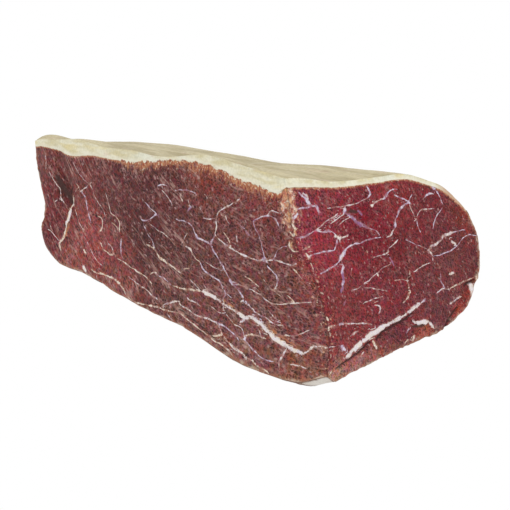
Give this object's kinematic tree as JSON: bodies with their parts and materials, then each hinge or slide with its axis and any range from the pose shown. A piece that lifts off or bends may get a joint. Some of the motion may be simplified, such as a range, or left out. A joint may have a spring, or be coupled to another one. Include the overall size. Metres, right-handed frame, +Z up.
{
  "type": "dried salted beef",
  "caption": "Block of dried salted beef, cut flat along one side and across one end, with a fat cap on top and a rounded back and underside.",
  "frame": {"origin": "centre of the box's bottom face, on the surface that the block rests on", "axes": "+Z up, +X along the length towards the cut end, and the long cut faces -Y"},
  "size_m": [0.2674, 0.1248, 0.1043],
  "materials": {
    "lean": "satin",
    "fat": "satin"
  },
  "bodies": {
    "root": {"lean_beef": "lean", "fat_cap": "fat"}
  },
  "joints": []
}
